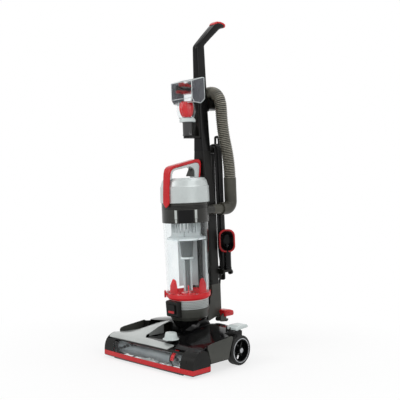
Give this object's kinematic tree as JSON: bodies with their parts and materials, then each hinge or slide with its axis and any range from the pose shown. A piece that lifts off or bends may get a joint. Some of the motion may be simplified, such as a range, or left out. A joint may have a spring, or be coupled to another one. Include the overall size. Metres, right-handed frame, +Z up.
{
  "type": "upright vacuum cleaner",
  "caption": "Upright vacuum cleaner with a clear dust bin, red carry handle, wide brush foot, stretch hose and tools on the handle",
  "frame": {"origin": "bottom centre of the machine as it stands parked, cord and hose left out", "axes": "+Z up, front of the foot towards -Y, +X to the viewer's right when facing the front"},
  "size_m": [0.381, 0.35, 1.0697],
  "materials": {
    "black_gloss": "gloss",
    "black_satin": "satin",
    "dark_grey": "satin",
    "silver_plastic": "satin",
    "lid_silver": "satin",
    "red_gloss": "gloss",
    "clear_plastic": "clear",
    "smoke_plastic": "translucent",
    "tyre_rubber": "matte",
    "hose_vinyl": "satin",
    "steel": "brushed",
    "sole_steel": "satin",
    "bristle": "matte",
    "belt_rubber": "matte",
    "filter_foam": "matte",
    "cord_vinyl": "satin",
    "white_plastic": "satin"
  },
  "bodies": {
    "foot": {"foot_base": "black_satin", "foot_cover": "silver_plastic", "foot_hood": "black_gloss", "window": "clear_plastic", "front_trim": "red_gloss", "nozzle_caps": "black_satin", "rear_fairings": "dark_grey", "sole_plate": "sole_steel", "brush_bearings": "steel", "drive_belt": "belt_rubber", "foot_fasteners": "steel"},
    "wheel_left": {"tyre_left": "tyre_rubber", "hub_left": "black_gloss"},
    "wheel_right": {"tyre_right": "tyre_rubber", "hub_right": "black_gloss"},
    "height_frame": {"height_carriage": "steel"},
    "rollers": {"front_rollers": "black_satin"},
    "height_dial": {"height_knob": "white_plastic"},
    "recline_pedal": {"release_pedal": "silver_plastic"},
    "brush_roll": {"brush_core": "red_gloss", "brush_tufts": "bristle"},
    "upright": {"motor_can": "steel", "motor_housing": "black_gloss", "suction_riser": "black_satin", "body_shell": "dark_grey", "exhaust_grille": "lid_silver", "front_badge": "black_satin", "spine_shell": "dark_grey", "spine_cover": "black_satin", "handle_pole": "black_gloss", "grip": "black_satin", "grip_cap": "red_gloss", "hose": "hose_vinyl", "inlet_elbow": "black_satin", "hose_cuff": "black_satin", "hose_hook": "black_satin", "cord_hook_lower": "black_satin", "strain_relief": "black_satin", "power_lead": "cord_vinyl", "cord_hank": "cord_vinyl", "power_plug": "cord_vinyl", "tool_bracket": "black_satin"},
    "rotor": {"motor_rotor": "steel"},
    "switch_pedal": {"power_pedal": "red_gloss"},
    "cord_hook": {"cord_hook_upper": "black_satin"},
    "bin": {"bin_cup": "clear_plastic", "bin_band": "black_satin", "cyclone_shroud": "smoke_plastic", "cyclone_cone": "smoke_plastic", "bin_door": "red_gloss", "bin_lid": "lid_silver", "carry_handle": "red_gloss", "bin_filter": "filter_foam"},
    "bin_button": {"bin_latch": "dark_grey"},
    "floor_latch": {"door_latch": "red_gloss"},
    "turbo_tool": {"tool_neck": "black_gloss", "tool_housing": "clear_plastic"},
    "turbo_roll": {"tool_brush": "red_gloss"},
    "dusting_tool": {"dusting_brush": "red_gloss", "dusting_bristles": "bristle"}
  },
  "joints": [
    {"name": "recline", "type": "hinge", "parent": "foot", "child": "upright", "pos_m": [0, 0.02096, 0.085], "axis": [-1, 0, 0], "range_deg": [0, 45]},
    {"name": "wheel_left_roll", "type": "hinge", "parent": "foot", "child": "wheel_left", "pos_m": [-0.1775, 0.03896, 0.04375], "axis": [1, 0, 0], "continuous": true},
    {"name": "wheel_right_roll", "type": "hinge", "parent": "foot", "child": "wheel_right", "pos_m": [0.1775, 0.03896, 0.04375], "axis": [1, 0, 0], "continuous": true},
    {"name": "height_turn", "type": "hinge", "parent": "foot", "child": "height_dial", "pos_m": [0.055, -0.12004, 0.09], "axis": [0, 0, 1], "range_deg": [0, 150]},
    {"name": "height_swing", "type": "hinge", "parent": "foot", "child": "height_frame", "pos_m": [0, -0.08304, 0.017], "axis": [-1, 0, 0], "range_deg": [0, 9]},
    {"name": "roller_roll", "type": "hinge", "parent": "height_frame", "child": "rollers", "pos_m": [0, -0.05904, 0.008], "axis": [1, 0, 0], "continuous": true},
    {"name": "recline_pedal_press", "type": "hinge", "parent": "foot", "child": "recline_pedal", "pos_m": [0.165, 0.02696, 0.106], "axis": [-1, 0, 0], "range_deg": [0, 8], "stiffness_Nm_per_rad": 3},
    {"name": "brush_spin", "type": "hinge", "parent": "foot", "child": "brush_roll", "pos_m": [0, -0.13304, 0.032], "axis": [1, 0, 0], "continuous": true},
    {"name": "rotor_spin", "type": "hinge", "parent": "upright", "child": "rotor", "pos_m": [0, 0.02096, 0.085], "axis": [1, 0, 0], "continuous": true},
    {"name": "switch_press", "type": "hinge", "parent": "upright", "child": "switch_pedal", "pos_m": [0.045, 0.12019, 0.11959], "axis": [-1, 0, 0], "range_deg": [0, 6], "stiffness_Nm_per_rad": 3},
    {"name": "cord_hook_turn", "type": "hinge", "parent": "upright", "child": "cord_hook", "pos_m": [0, 0.11978, 0.64639], "axis": [0, -0.9984, -0.0558], "range_deg": [0, 180]},
    {"name": "bin_slide", "type": "slide", "parent": "upright", "child": "bin", "axis": [0, -0.9984, -0.0558], "range_m": [0, 0.18]},
    {"name": "bin_button_press", "type": "slide", "parent": "bin", "child": "bin_button", "axis": [0, 0.0558, -0.9984], "range_m": [0, 0.0035], "stiffness_N_per_m": 600},
    {"name": "floor_latch_pull", "type": "hinge", "parent": "bin", "child": "floor_latch", "pos_m": [-0.05126, -0.04069, 0.19773], "axis": [0.7071, -0.706, -0.0395], "range_deg": [-12, 0], "stiffness_Nm_per_rad": 0.5},
    {"name": "turbo_tool_lift", "type": "slide", "parent": "upright", "child": "turbo_tool", "axis": [0, -0.0558, 0.9984], "range_m": [0, 0.06]},
    {"name": "turbo_roll_spin", "type": "hinge", "parent": "turbo_tool", "child": "turbo_roll", "pos_m": [0, 0.005, 0.83628], "axis": [1, 0, 0], "continuous": true},
    {"name": "dusting_tool_lift", "type": "slide", "parent": "upright", "child": "dusting_tool", "axis": [0, -0.0558, 0.9984], "range_m": [0, 0.04]}
  ],
  "couplings": [
    {"joint": "height_swing", "follows": "height_turn", "ratio": 0.06},
    {"joint": "rotor_spin", "follows": "brush_spin", "ratio": 2}
  ]
}
